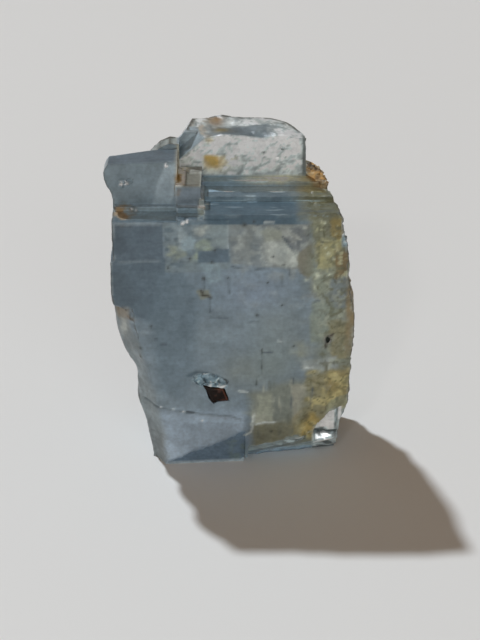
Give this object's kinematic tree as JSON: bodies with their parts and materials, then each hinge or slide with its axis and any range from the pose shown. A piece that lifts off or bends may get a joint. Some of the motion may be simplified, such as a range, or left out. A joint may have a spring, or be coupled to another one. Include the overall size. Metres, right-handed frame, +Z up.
{
  "type": "fluorite specimen",
  "caption": "Blue fluorite hand specimen of stepped, intergrown cubic crystal, standing on end, with a clear crest, rusty edges and a small brown crystal in its face",
  "frame": {"origin": "under the middle of the specimen's box, on the surface that it stands on", "axes": "+Z up along the length of the crystal, the stepped front face looks along -Y, +X to the right as seen from the front"},
  "size_m": [0.0312, 0.0162, 0.043],
  "materials": {
    "fluorite": "glassy cleavage faces on cloudy grey-blue translucent crystal, granular and rust-stained at the right edge",
    "brown_crystal": "dark red-brown, resinous, worn along its edges"
  },
  "bodies": {
    "root": {"fluorite_crystal": "fluorite", "brown_rhomb": "brown_crystal"}
  },
  "joints": []
}
